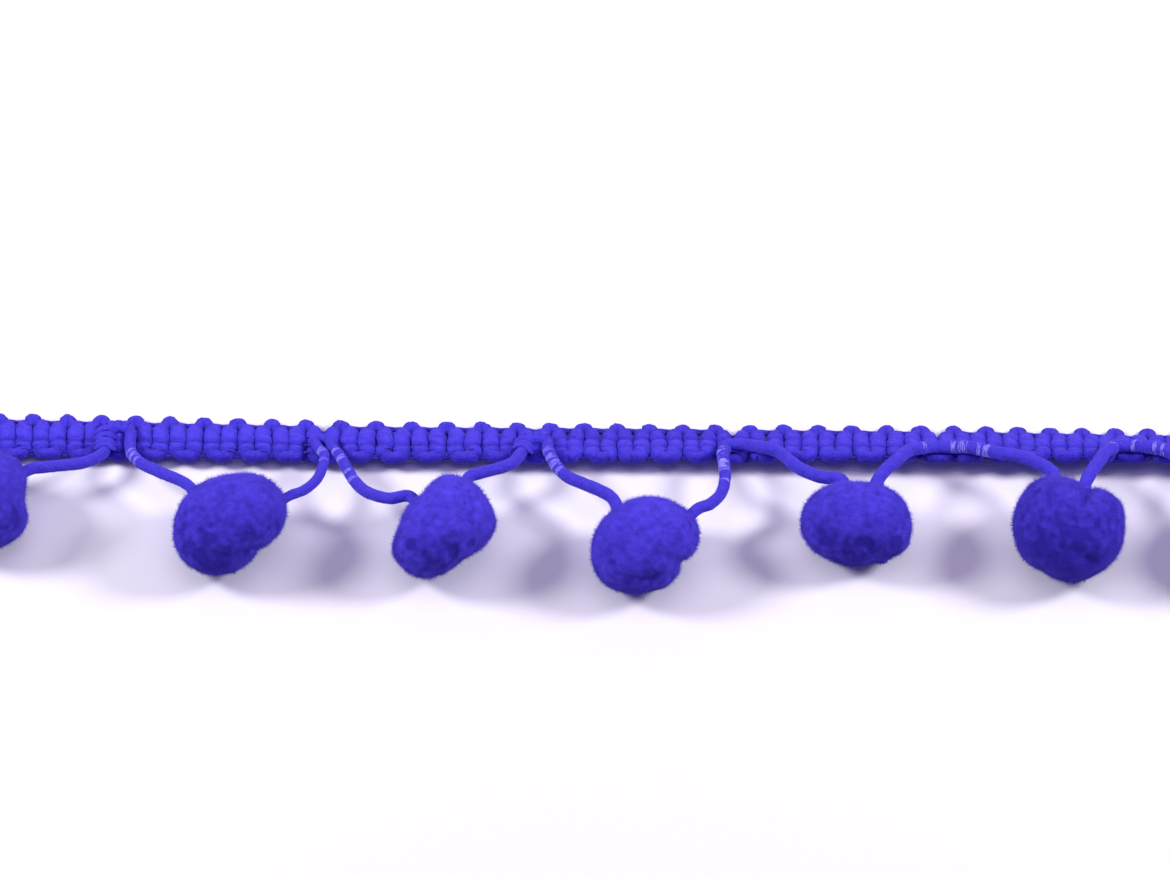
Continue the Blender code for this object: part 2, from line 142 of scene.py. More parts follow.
# thin closed hairs, each a three-sided spike that leaves its root along its lean; outward is how they shade
def hairSkin(roots, leans, lengths, widths, outward, rng):
    count = len(roots)
    leans = unit(leans)
    side = unit(np.cross(leans, unit(rng.normal(size=(count, 3)))))
    other = np.cross(leans, side)
    points = np.empty((count, 4, 3))
    normals = np.empty((count, 4, 3))
    for k in range(3):
        turn = 2 * np.pi * k / 3
        away = side * math.cos(turn) + other * math.sin(turn)
        points[:, k] = roots + widths[:, None] * away
        normals[:, k] = outward + hairRound * away
    points[:, 3] = roots + leans * lengths[:, None]
    normals[:, 3] = outward
    base = np.arange(count)[:, None] * 4
    corners = np.array([[0, 1, 3], [1, 2, 3], [2, 0, 3], [2, 1, 0]])
    faces = (base[:, None, :] + corners[None]).reshape(-1, 3)
    tips = np.tile([0.0, 0.0, 0.0, 1.0], count)
    return points.reshape(-1, 3), faces.tolist(), tips, unit(normals.reshape(-1, 3))


# short hairs that stand off a yarn's skin; from and to are in half turns round the yarn
def fuzzBlock(path, sides, ups, wide, thick, fuzz, rng):
    count = fuzz["hairs"]
    at = rng.integers(0, len(path), count)
    turn = rng.uniform(fuzz["from"] * np.pi, fuzz["to"] * np.pi, count)
    toSide, toUp = np.cos(turn), np.sin(turn)
    out = sides[at] * toSide[:, None] + ups[at] * toUp[:, None]
    roots = path[at] + sides[at] * (toSide * wide[at])[:, None] + ups[at] * (toUp * thick[at])[:, None]
    leans = out + tangents(path)[at] * rng.normal(fuzz["drift"], fuzz["sweep"], count)[:, None]
    leans = leans + rng.normal(0, fuzz["scatter"], (count, 3))
    lengths = fuzz["length"] * rng.uniform(fuzz["shortest"], fuzz["longest"], count)
    widths = np.full(count, fuzz["width"])
    points, faces, tips, normals = hairSkin(roots, leans, lengths, widths, out, rng)
    # hairs are lighter at their tips than at their roots: painted light and shade
    return points, faces, fuzz["stand"] + fuzz["paintedTipLight"] * tips, normals


def newObject(name, data):
    thing = bpy.data.objects.new(name, data)
    bpy.context.scene.collection.objects.link(thing)
    return thing


# one mesh object from blocks of points, faces, how far each point stands out (0 in a hollow, 1 on top),
# which sets its painted light and shade, and, for hairs, how they shade
def makePiece(name, blocks, material):
    faces, start = [], 0
    for block in blocks:
        faces += [[start + corner for corner in face] for face in block[1]]
        start += len(block[0])
    points = np.concatenate([block[0] for block in blocks]) * mm
    points[:, 2] = np.maximum(points[:, 2], floorGap * mm)
    mesh = bpy.data.meshes.new(name)
    mesh.from_pydata(points.tolist(), [], faces)
    layer = mesh.attributes.new("stand", "FLOAT", "POINT")
    layer.data.foreach_set("value", np.concatenate([block[2] for block in blocks]).astype(np.float32))
    mesh.shade_smooth()
    mesh.materials.append(material)
    mesh.update()
    normals = np.empty(len(points) * 3, np.float32)
    mesh.vertex_normals.foreach_get("vector", normals)
    normals = normals.reshape(-1, 3)
    start = 0
    for block in blocks:
        if len(block) > 3:
            normals[start:start + len(block[0])] = block[3]
        start += len(block[0])
    mesh.normals_split_custom_set_from_vertices(normals.tolist())
    piece = newObject(name, mesh)
    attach(piece, body)
    print(name, "made:", sum(len(face) - 2 for face in faces), "triangles")
    return piece


def newMaterial(name):
    material = bpy.data.materials.new(name)
    material.use_nodes = True
    tree = material.node_tree
    return material, tree, tree.nodes["Principled BSDF"]


def addNode(tree, kind, **settings):
    node = tree.nodes.new(kind)
    for key, value in settings.items():
        setattr(node, key, value)
    return node


def setInputs(node, values):
    for name, value in values.items():
        node.inputs[name].default_value = value


def addRamp(tree, low, high):
    ramp = addNode(tree, "ShaderNodeValToRGB")
    for element, color in zip(ramp.color_ramp.elements, (low, high)):
        element.color = color
    return ramp


# mottled dyed yarn with painted light and shade: deep colour in the hollows is painted shade, bright on
# what stands out is painted light
def yarnWithPaintedShade(name, look):
    material, tree, shader = newMaterial(name)
    link = tree.links.new
    place = addNode(tree, "ShaderNodeTexCoord")
    mottle = addNode(tree, "ShaderNodeTexNoise")
    setInputs(mottle, {"Scale": look["mottleScale"], "Detail": 4.0, "Roughness": 0.7})
    link(place.outputs["Object"], mottle.inputs["Vector"])
    height = addNode(tree, "ShaderNodeAttribute", attribute_name="stand")
    total = addNode(tree, "ShaderNodeMath", operation="MULTIPLY_ADD")
    link(mottle.outputs["Fac"], total.inputs[0])
    total.inputs[1].default_value = look["mottle"]
    link(height.outputs["Fac"], total.inputs[2])
    spread = addNode(tree, "ShaderNodeMapRange")
    setInputs(spread, {"From Min": look["deepAt"], "From Max": look["brightAt"]})
    link(total.outputs[0], spread.inputs["Value"])
    ramp = addRamp(tree, look["deep"], look["bright"])
    link(spread.outputs["Result"], ramp.inputs["Fac"])
    link(ramp.outputs["Color"], shader.inputs["Base Color"])
    fibre = addNode(tree, "ShaderNodeTexNoise")
    setInputs(fibre, {"Scale": look["fibreScale"], "Detail": 3.0})
    link(place.outputs["Object"], fibre.inputs["Vector"])
    bump = addNode(tree, "ShaderNodeBump")
    setInputs(bump, {"Strength": look["bump"], "Distance": look["bumpDepth"] * mm})
    link(fibre.outputs["Fac"], bump.inputs["Height"])
    link(bump.outputs["Normal"], shader.inputs["Normal"])
    setInputs(shader, {
        "Roughness": look["roughness"], "Specular IOR Level": look["gloss"],
        "Sheen Weight": look["sheen"], "Sheen Roughness": 0.45, "Sheen Tint": look["sheenTint"],
    })
    return material


# deep and bright are the colours at deepAt and brightAt, where a point's stand and the mottle are added up;
# deep stands for the yarn in painted shade, bright for the yarn in painted light
tapeYarnLook = {
    "deep": (0.041, 0.027, 0.470, 1.0), "bright": (0.087, 0.062, 0.780, 1.0),
    "deepAt": 0.45, "brightAt": 1.55, "mottle": 1.30, "mottleScale": 2000.0,
    "fibreScale": 4500.0, "bump": 0.9, "bumpDepth": 0.22, "roughness": 0.9, "gloss": 0.12,
    "sheen": 0.20, "sheenTint": (0.35, 0.30, 1.0, 1.0),
}
# the chain threads take a darker deep colour than the tape yarn: painted shade, so that they read as dark
# creases
shadedThreadLook = dict(tapeYarnLook, deep=(0.020, 0.011, 0.240, 1.0))
cordYarnLook = dict(tapeYarnLook, gloss=0.2, mottle=0.8)
pileLook = {
    "deep": (0.031, 0.020, 0.320, 1.0), "bright": (0.132, 0.092, 1.000, 1.0),
    "deepAt": 0.18, "brightAt": 1.15, "mottle": 0.40, "mottleScale": 700.0,
    "fibreScale": 8000.0, "bump": 0.6, "bumpDepth": 0.10, "roughness": 0.95, "gloss": 0.02,
    "sheen": 0.35, "sheenTint": (0.22, 0.16, 1.0, 1.0),
}
# the pale colour is partly the whipping thread's own and partly painted highlight
whippingAndHighlightLook = {
    "deep": (0.075, 0.055, 0.70, 1.0), "bright": (0.38, 0.36, 0.96, 1.0),
    "deepAt": 0.70, "brightAt": 1.60, "mottle": 2.0, "mottleScale": 2400.0,
    "fibreScale": 9000.0, "bump": 0.3, "bumpDepth": 0.10, "roughness": 0.6, "gloss": 0.3,
    "sheen": 0.1, "sheenTint": (0.8, 0.8, 1.0, 1.0),
}

tapeYarn = yarnWithPaintedShade("dyed tape yarn", tapeYarnLook)
shadedChainThread = yarnWithPaintedShade("chain thread", shadedThreadLook)
cordYarn = yarnWithPaintedShade("dyed cord yarn", cordYarnLook)
pompomPile = yarnWithPaintedShade("shorn pompom pile", pileLook)
whippingAndHighlight = yarnWithPaintedShade("pale whipping thread", whippingAndHighlightLook)
print("materials made")


# the tape's own space: along is x, across runs from the far loops to the near ones, lift stands off
tape = {
    "half": 0.60, "tiltMiddle": 18.8, "tiltPerMm": 0.21, "farRound": 0.1,
    "stitchesPerRepeat": 6, "endStitches": 2,
    "seatDepth": 0.35, "seatHalfLength": 2.3, "seatSlope": 2.0, "pressReach": 1.6, "pressFade": 0.8,
    "drawnWidth": 0.60,
}

# where the cord crosses the tape: x of the stitch, y of the far loops there, feet and tops of its two legs,
# how far down their tops lie, and how far the far edge is drawn down there
crossingKeys = ("x", "farY", "leftFoot", "leftTop", "rightTop", "rightFoot", "climb", "drawn")
crossings = [dict(zip(crossingKeys, row)) for row in (
    (-64.15, 10.40, None, -65.0, -63.8, -63.4, 1.4, 0.0),
    (-45.58, 9.95, -46.8, -46.5, -44.6, -44.3, 1.7, 0.0),
    (-27.07, 9.44, -26.9, -27.8, -26.6, -25.6, 2.6, 0.7),
    (-7.95, 9.18, -9.2, -8.7, -6.9, -6.6, 2.65, 0.2),
    (9.92, 8.95, 9.0, 9.4, 11.1, 14.0, 3.3, 0.9),
    (28.50, 8.76, 25.8, 27.8, 29.9, 32.6, 3.8, 1.0),
    (45.92, 8.42, 43.6, 44.4, 46.2, 48.8, 3.5, 0.3),
    (64.19, 8.07, 62.9, 63.4, 65.0, None, 1.7, 0.0),
)]


def tilt(x):
    return np.radians(tape["tiltMiddle"] + tape["tiltPerMm"] * x)


# places on the tape, and the direction that stands off its face there
def onTape(x, across, lift):
    x, across, lift = np.broadcast_arrays(np.asarray(x, float), across, lift)
    lean = tilt(x)
    farHeight = tape["half"] * np.cos(lean) - tape["farRound"] * np.sin(lean)
    farY = np.interp(x, [c["x"] for c in crossings], [c["farY"] for c in crossings])
    y = farY - across * np.cos(lean) + lift * np.sin(lean)
    z = farHeight + across * np.sin(lean) + lift * np.cos(lean)
    return np.stack([x, y, z], axis=-1)


def offTape(x):
    lean = tilt(np.asarray(x, float))
    return np.stack([np.zeros_like(lean), np.sin(lean), np.cos(lean)], axis=-1)


def stitchX(stitch):
    perRepeat = tape["stitchesPerRepeat"]
    repeat = np.clip(np.floor(np.asarray(stitch) / perRepeat), 0, len(crossings) - 2).astype(int)
    xs = np.array([c["x"] for c in crossings])
    return xs[repeat] + (xs[repeat + 1] - xs[repeat]) * (np.asarray(stitch) / perRepeat - repeat)


# 1 where the cord crosses the tape and presses it down, 0 elsewhere
def pressed(x):
    middles = np.array([(c["leftTop"] + c["rightTop"]) / 2 for c in crossings])
    nearest = np.min(np.abs(np.asarray(x, float)[..., None] - middles), axis=-1)
    return np.clip(tape["seatSlope"] * (1.0 - nearest / tape["seatHalfLength"]), 0.0, 1.0)


# the tape is pressed only where the cord lies on it, so the far loops stay as they are
def pressedUnder(x, across):
    climb = np.interp(x, [c["x"] for c in crossings], [c["climb"] for c in crossings])
    return pressed(x) * smooth((across - climb + tape["pressReach"]) / tape["pressFade"])


# how far the far edge is drawn down at x, because the cord pulls it there
def drawnDown(x):
    x = np.asarray(x, float)
    depth = np.zeros_like(x)
    for crossing in crossings:
        depth += crossing["drawn"] * np.exp(-((x - crossing["x"]) / tape["drawnWidth"]) ** 2)
    return depth


firstStitch = -tape["endStitches"]
lastStitch = tape["stitchesPerRepeat"] * (len(crossings) - 1) + tape["endStitches"]


# carrier cord: one length, over the tape and out through each pompom
# gap is the solid's over the tape, and settle is how far the cord sinks from there
cord = {
    "cadRadius": 0.58, "gap": 0.30, "settle": 0.30,
    "bendAcross": 0.55, "bendAlong": 0.45, "knotHalf": 1.2, "footReach": 4.82, "footLift": 1.09,
    "stepsPerSpan": 12, "step": 0.16, "corners": 16, "plies": 2, "plyPitch": 2.6, "plyDepth": 0.012,
    "lumpRun": 9, "lumpDepth": 0.03, "grainDepth": 0.008, "stand": 0.58, "plyPaintedShade": 0.06,
}
cordFuzz = {
    "hairs": 9000, "length": 0.22, "shortest": 0.5, "longest": 1.4, "width": 0.016, "rootDepth": 0.06,
    "from": 0.0, "to": 2.0, "drift": 0.4, "sweep": 0.9, "scatter": 0.25, "stand": 0.45, "paintedTipLight": 0.3,
}

# the way of each leg from the tape to its pompom: x, y and z
leftLegs = [
    [(-62.7, 3.6, 3.1), (-61.2, 2.3, 4.0)],
    [(-43.4, 3.8, 3.0), (-41.6, 2.5, 3.4), (-38.9, 0.5, 4.0)],
    [(-24.9, 3.2, 3.2), (-24.1, 1.5, 3.4), (-23.0, 0.2, 3.6), (-21.0, -0.7, 3.9), (-19.1, -0.7, 4.2)],
    [(-5.9, 3.0, 3.5), (-5.0, 1.9, 3.6), (-3.6, 1.0, 3.8), (-2.1, 0.1, 4.0), (-0.9, -0.9, 4.1)],
    [(15.8, 2.6, 4.0), (17.7, 1.4, 4.3), (19.7, 0.7, 4.6)],
    [(34.2, 4.0, 4.2), (35.8, 3.6, 4.3), (37.6, 2.6, 4.5), (38.7, 1.4, 4.7)],
    [(51.5, 2.6, 4.3), (53.3, 0.5, 4.5)],
]
rightLegs = [
    [(-48.4, 3.9, 3.0), (-50.1, 3.3, 3.4), (-51.9, 2.8, 3.8), (-53.4, 2.3, 4.1)],
    [(-27.0, 3.3, 3.2), (-27.5, 1.7, 3.5), (-28.6, 0.3, 3.8), (-30.0, -0.6, 4.1)],
    [(-9.9, 3.5, 3.5), (-11.0, 2.8, 3.7), (-12.7, 2.1, 3.9), (-13.9, 1.4, 4.1)],
    [(9.1, 3.4, 3.7), (9.2, 1.6, 3.8), (8.8, -0.2, 3.9), (7.8, -1.4, 4.0), (6.7, -2.0, 4.1)],
    [(24.7, 3.4, 4.1), (23.6, 2.1, 4.3), (22.7, 0.3, 4.5)],
    [(42.9, 3.2, 4.3), (42.3, 2.1, 4.5), (41.5, 0.2, 4.7)],
    [(62.1, 1.8, 4.4), (60.1, -0.6, 4.5)],
]

# pale: how much lighter the whole pompom is; rim: how far the pile reaches in the camera's
# view, in 30 degree steps from the right, anticlockwise
pompomKeys = ("x", "y", "width", "depth", "height", "pale", "rim")
pompoms = [dict(zip(pompomKeys, row)) for row in (
    (-58.4, -0.9, 10.0, 9.9, 9.2, 0.00,
     (4.80, 5.45, 5.00, 4.85, 4.90, 5.00, 5.00, 4.90, 4.85, 5.00, 5.30, 5.58)),
    (-35.3, -4.0, 10.7, 9.8, 9.0, -0.07,
     (4.95, 5.68, 5.46, 4.78, 4.70, 4.90, 5.10, 5.28, 4.94, 4.34, 3.70, 3.85)),
    (-16.1, -4.1, 10.2, 10.2, 9.2, 0.03,
     (4.82, 4.76, 4.86, 4.70, 3.62, 3.76, 4.08, 5.28, 5.24, 4.30, 3.50, 4.05)),
    (2.1, -6.0, 10.2, 9.5, 8.4, 0.00,
     (4.66, 5.12, 4.80, 4.62, 4.50, 4.74, 5.08, 5.22, 4.88, 4.26, 4.00, 3.74)),
    (20.9, -3.7, 10.3, 7.9, 7.9, -0.05,
     (5.10, 4.92, 4.50, 4.20, 4.55, 4.95, 5.08, 4.48, 3.76, 3.60, 3.74, 4.88)),
    (40.1, -4.4, 10.6, 10.2, 9.3, -0.20,
     (4.98, 5.20, 4.60, 4.66, 5.42, 5.40, 5.28, 5.12, 4.72, 4.86, 4.78, 4.92)),
    (57.2, -4.1, 10.2, 9.6, 9.1, 0.00,
     (5.10, 5.00, 4.80, 4.70, 4.90, 5.05, 5.10, 5.00, 4.80, 4.70, 4.80, 5.00)),
)]
flatSpot = 0.25      # how far a pompom is pressed flat where it rests


def pompomCentre(ball):
    return np.array([ball["x"], ball["y"], ball["height"] / 2 - flatSpot])


def cordOnTape(x, across):
    seat = tape["half"] - tape["seatDepth"] * pressed(np.array(x))
    return onTape(x, across, seat + cord["gap"] + cord["cadRadius"] - cord["settle"])


# a crossing's leg, from its top on the tape to its foot at the near edge
def legPoints(crossing, leg):
    top, foot = crossing[leg + "Top"], crossing[leg + "Foot"]
    points = [cordOnTape(top, crossing["climb"])]
    if foot is not None:
        bend = mix(crossing["climb"], cord["footReach"], cord["bendAcross"])
        points.append(cordOnTape(mix(top, foot, cord["bendAlong"]), bend))
        points.append(onTape(foot, cord["footReach"], cord["footLift"]))
    return points


def crossingPoints(crossing):
    return legPoints(crossing, "left")[::-1] + legPoints(crossing, "right")


def cordRoute():
    points = crossingPoints(crossings[0])
    for ball, left, right, following in zip(pompoms, leftLegs, rightLegs, crossings[1:]):
        knot = np.array([cord["knotHalf"], 0, 0])
        points += left
        points += [pompomCentre(ball) - knot, pompomCentre(ball) + knot]
        points += right[::-1]
        points += crossingPoints(following)
    return np.array(points)


cordPath = evenSteps(curveThrough(cordRoute(), cord["stepsPerSpan"]), cord["step"])
cordAlong = np.concatenate([[0], np.cumsum(np.linalg.norm(np.diff(cordPath, axis=0), axis=1))])
cordSides, cordUps = carriedFrames(cordPath)


# rows that go with the cord's points, read at any distance along the cord
def readAlong(rows, along):
    return np.stack([np.interp(along, cordAlong, column) for column in rows.T], axis=-1)


# how far along the cord the top of a crossing's leg is
def legTop(crossing, leg):
    top = cordOnTape(crossing[leg + "Top"], crossing["climb"])
    return cordAlong[np.argmin(np.linalg.norm(cordPath - top, axis=1))]


# the cord isn't equally thick all along: x and radius
cordThickness = [
    (-55, 0.54), (-40, 0.53), (-32, 0.46), (-27, 0.46), (-24, 0.54), (-8, 0.55), (0, 0.57), (9, 0.53),
    (13, 0.57), (20, 0.61), (30, 0.58), (45, 0.61),
]


def cordRadius(x):
    return np.interp(x, [place for place, _ in cordThickness], [radius for _, radius in cordThickness])


def makeCord():
    rng = np.random.default_rng(seeds["cord"])
    turns = np.linspace(0, 2 * np.pi, cord["corners"], endpoint=False)
    twist = 2 * np.pi * cordAlong / cord["plyPitch"]
    groove = np.cos(cord["plies"] * (turns[None, :] - twist[:, None]))
    run = cord["lumpRun"]
    lumps = np.convolve(rng.normal(size=len(cordPath)), np.ones(run) / run, mode="same")[:, None]
    grain = rng.normal(size=groove.shape)
    ripple = cord["plyDepth"] * groove + cord["lumpDepth"] * lumps + cord["grainDepth"] * grain
    radius = cordRadius(cordPath[:, 0])
    points, faces = tubeSkin(cordPath, cordSides, cordUps, radius, radius, cord["corners"], ripple)
    # the ply grooves are darkened with painted shade
    stand = cord["stand"] + cord["plyPaintedShade"] * groove
    root = radius - cordFuzz["rootDepth"]
    fuzz = fuzzBlock(cordPath, cordSides, cordUps, root, root, cordFuzz, rng)
    piece = makePiece("carrierCord", [(points, faces, stand.ravel()), fuzz], cordYarn)
    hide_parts("carrier_cord")


# pale whipping thread on the cord near the tape, partly painted highlight: it sinks in where it turns from
# the light, so its pale shows only on the lit side
whipping = {
    "threadRadius": 0.047, "swell": 0.25, "swellRate": 2.3, "corners": 6, "stepsPerTurn": 16, "layers": 2,
    "pitch": 0.17, "pitchSpread": 0.04, "wander": 0.06, "startTurn": 6.0,
    "lift": -0.01, "uneven": 0.01, "highlightFrom": (-0.40, -0.55, 0.75), "sink": 0.045,
    "stand": -0.2, "paleStand": 0.6,
}

# per crossing and leg: distance from the leg's top in mm, how many turns show there and how pale they are,
# a paleness that is partly the thread's own and partly painted highlight
whips = {
    (1, "right"): [(3.4, 2.2, 0.6), (4.1, 3.0, 0.8), (4.8, 1.8, 0.5)],
    (2, "left"): [(2.1, 4.0, 0.7), (3.6, 2.2, 0.8)],
    (2, "right"): [(2.2, 2.4, 0.5), (3.5, 3.2, 0.8), (5.2, 1.8, 0.7), (6.2, 2.0, 0.7)],
    (3, "right"): [(2.1, 2.4, 0.6), (3.1, 2.6, 0.6), (4.0, 3.6, 0.8), (4.9, 2.0, 0.6)],
    (4, "left"): [(1.2, 2.0, 0.9), (1.8, 4.0, 1.3), (2.6, 2.2, 1.0), (3.5, 4.6, 1.4), (4.2, 1.8, 0.9),
                  (5.4, 1.4, 0.7)],
    (5, "left"): [(0.9, 2.0, 0.4)],
    (5, "right"): [(0.1, 3.0, 0.6), (1.1, 4.4, 0.8), (2.5, 3.0, 0.6), (3.4, 4.2, 0.8)],
    (6, "left"): [(0.6, 2.0, 0.4)],
    (6, "right"): [(0.0, 3.0, 0.5), (2.1, 2.6, 0.5), (3.0, 2.0, 0.5)],
}


# one layer of thread wound round the cord, its middle at a distance along it
def whipSkin(middle, turnsShown, rng):
    pitch = whipping["pitch"] + rng.uniform(-1, 1) * whipping["pitchSpread"]
    count = int(turnsShown * whipping["stepsPerTurn"])
    share = np.linspace(-0.5, 0.5, count)
    hand = rng.choice((-1, 1))
    turn = hand * share * turnsShown * 2 * np.pi + rng.uniform(0, whipping["startTurn"])
    wander = whipping["wander"] * np.sin(turn + rng.uniform(0, whipping["startTurn"]))
    along = middle + share * turnsShown * pitch + wander
    centre = readAlong(cordPath, along)
    outward = unit(readAlong(cordSides, along)) * np.cos(turn)[:, None]
    outward = outward + unit(readAlong(cordUps, along)) * np.sin(turn)[:, None]
    # the thread sinks on the side away from highlightFrom, so its pale is a painted highlight on the lit
    # side
    hidden = whipping["sink"] * (1 - outward @ unit(np.array(whipping["highlightFrom"])))
    reach = cordRadius(centre[:, 0]) + whipping["lift"] - hidden + rng.normal(0, whipping["uneven"], count)
    path = centre + outward * reach[:, None]
    thick = whipping["threadRadius"] * (1 + whipping["swell"] * np.sin(whipping["swellRate"] * turn))
    return tubeSkin(path, *carriedFrames(path), thick, thick, whipping["corners"])


def makeWhips():
    rng = np.random.default_rng(seeds["whips"])
    blocks = []
    for (number, leg), bands in whips.items():
        top = legTop(crossings[number], leg)
        downLeg = 1 if leg == "right" else -1
        for distance, turnsShown, pale in bands:
            for _ in range(whipping["layers"]):
                skin, faces = whipSkin(top + downLeg * distance, turnsShown, rng)
                stand = whipping["stand"] + whipping["paleStand"] * pale
                blocks.append((skin, faces, np.full(len(skin), stand)))
    piece = makePiece("cordWhipping", blocks, whippingAndHighlight)


# tape: a thick filling yarn that runs up and down, held by chains of thread
# parting, drawnNarrow and drawnReach: how the yarn gives way where the cord draws the far edge down
filling = {
    "stepsPerSpan": 6, "step": 0.13, "corners": 18, "boxy": 2.4,
    "plies": 3, "plyPitch": 3.0, "plyDepth": 0.015, "strandDepth": 0.022, "strandRun": 18,
    "jitter": 0.05, "jitterAcross": 0.8, "jitterLift": 0.5, "swell": 0.03,
    "press": 0.16, "pressThin": 0.28, "parting": 0.10, "drawnNarrow": 0.2, "drawnReach": 2.2,
    "edgeUntil": 0.37, "edgeReach": 1.4, "picotGrowth": 0.008, "picotReach": 0.6, "paintedShadeRightward": 0.004,
    "gripWidth": 0.28, "gripDepth": 0.38, "gripNarrow": 0.10, "gripPaintedShade": -0.72,
    # painted light and shade on the filling yarn: darker in its ply and strand grooves and at its sides
    # between passes, lighter on its outer face
    "stand": 0.50, "plyPaintedShade": 0.05, "strandPaintedShade": 5.0, "topPaintedLight": 0.16, "edgePaintedShade": -0.40,
    "edgePower": 2.5,
}
tapeFuzz = {
    "hairs": 18000, "length": 0.20, "shortest": 0.4, "longest": 1.3, "width": 0.014, "rootShare": 0.93,
    "from": -0.25, "to": 1.25, "drift": 0.0, "sweep": 0.8, "scatter": 0.3, "stand": 0.45, "paintedTipLight": 0.3,
}

# half a stitch of the filling yarn, from a near loop to a far one; the other half mirrors it:
# share of the stitch, across, lift, half width, half thickness, shade (painted shade, darkest on the near
# and far loops)
fillingStitch = [
    (0.000, 4.05, 0.00, 0.48, 0.50, -0.34),
    (0.120, 4.04, 0.00, 0.49, 0.50, -0.34),
    (0.190, 3.94, 0.00, 0.58, 0.49, -0.32),
    (0.224, 3.72, 0.00, 0.73, 0.50, -0.22),
    (0.236, 3.36, 0.00, 0.80, 0.55, -0.08),
    (0.240, 2.80, 0.00, 0.80, 0.56, -0.02),
    (0.242, 2.20, 0.00, 0.80, 0.57, 0.02),
    (0.242, 1.50, 0.00, 0.80, 0.57, 0.02),
    (0.250, 0.95, 0.00, 0.79, 0.55, -0.02),
    (0.282, 0.62, 0.00, 0.70, 0.49, -0.16),
    (0.345, 0.46, 0.00, 0.54, 0.46, -0.34),
    (0.388, 0.26, 0.01, 0.50, 0.47, -0.32),
    (0.402, 0.02, 0.02, 0.50, 0.48, -0.30),
    (0.436, -0.16, 0.02, 0.49, 0.48, -0.28),
    (0.500, -0.21, 0.02, 0.49, 0.48, -0.28),
]

# near the middle of the length the yarn thins and draws apart below the far loops, so that they stand up
# as arches, with painted shade inside them
arches = {
    "at": 2.5, "halfLength": 13.0, "across": 0.95, "reach": 0.50,
    "draw": 0.08, "thin": 0.10, "shade": -0.34,
}

# values that change along the tape are given at these places of x
chainPlaces = (-36.0, -14.0, -4.0, 10.0, 22.0, 40.0)
edgeDrop = (0.20, 0.10, 0.0, 0.0, 0.0, 0.0)       # how far the edge between the far loops is set back
gripSeat = 0.56 * (1 - filling["gripDepth"])      # a chain lies on the yarn that it squeezes

# chains of thread along the tape: how far across, how hard they grip, thread radius, how high they lie
# over the yarn and between two passes of it, and how deep they are buried where they don't grip
chainRows = [
    {"across": (0.22, 0.15, 0.05, 0.03, 0.03, 0.03), "grip": (0, 0, 0, 0, 0, 0),
     "radius": 0.13, "seat": 0.10, "between": 0.06, "buried": 0.0},
    {"across": (1.70, 1.70, 1.75, 1.75, 1.70, 1.70), "grip": (0, 0.1, 0.9, 0.9, 0.2, 0),
     "radius": 0.07, "seat": gripSeat, "between": -0.10, "buried": 0.3},
    {"across": (2.65, 2.75, 2.90, 2.95, 2.90, 2.85), "grip": (1, 1, 0.6, 0.6, 0.8, 0.8),
     "radius": 0.08, "seat": gripSeat, "between": -0.10, "buried": 0.3},
    {"across": (3.64, 3.64, 3.64, 3.60, 3.60, 3.60), "grip": (1.0, 0.7, 0, 0, 0, 0),
     "radius": 0.08, "seat": gripSeat, "between": -0.10, "buried": 0.3},
]


def alongTape(values, x):
    return np.interp(x, chainPlaces, values)


def archShare(x, across):
    near = np.exp(-((x - arches["at"]) / arches["halfLength"]) ** 4)
    return near * np.exp(-((across - arches["across"]) / arches["reach"]) ** 2)


# 1 at the far loops, falling to 0 at the reach across the tape
def farShare(across, reach):
    return smooth(1 - across / reach)


# rows along the filling yarn: place, half width, half thickness, shade and across
def fillingPath():
    rng = np.random.default_rng(seeds["fillingPath"])
    back = [(1 - share, *rest) for share, *rest in fillingStitch[-2:0:-1]]
    rows = []
    for stitch in range(firstStitch, lastStitch):
        for share, across, lift, width, thick, shade in fillingStitch + back:
            away = np.sign(0.5 - share)       # from the middle of the stitch
            x = stitchX(stitch + share)
            press = float(pressedUnder(x, across))
            drawn = float(drawnDown(x) * farShare(across, filling["drawnReach"]))
            x = stitchX(stitch + share + away * filling["parting"] * drawn)
            arch = float(archShare(x, across))
            x = x + away * arches["draw"] * arch
            if share < filling["edgeUntil"]:
                across = across + alongTape(edgeDrop, x) * farShare(across, filling["edgeReach"])
            rightward = max(x, 0)
            across = across - filling["picotGrowth"] * rightward * farShare(across, filling["picotReach"])
            wanderX, wanderAcross, wanderLift = rng.normal(0, filling["jitter"], 3)
            wanderAcross = wanderAcross * filling["jitterAcross"]
            wanderLift = wanderLift * filling["jitterLift"]
            place = onTape(x + wanderX, across + wanderAcross, lift + wanderLift - filling["press"] * press)
            swell = 1 + rng.normal(0, filling["swell"])
            narrow = swell * (1 - filling["drawnNarrow"] * drawn) * (1 - arches["thin"] * arch)
            thin = swell * (1 - filling["pressThin"] * press)
            # painted shade inside the arches, and painted shade that darkens the yarn towards the right end
            shade = shade + arches["shade"] * arch - filling["paintedShadeRightward"] * rightward
            rows.append([*place, width * narrow, thick * thin, shade, across])
    return evenSteps(curveThrough(rows, filling["stepsPerSpan"]), filling["step"])


# at these crossings the filling yarn swells up between the cord's legs, and loops of it hold the cord down
bulges = {
    "crossings": (0, 1, 3, 7), "below": 0.15, "until": 3.95, "lift": 0.42, "half": 0.50, "thick": 0.43,
    "jitter": 0.02, "steps": 14, "corners": 12,
    "lumps": 0.16, "lumpRate": 4.5, "endFade": 0.6, "endPower": 8, "stand": 0.42, "standSpread": 0.05,
}
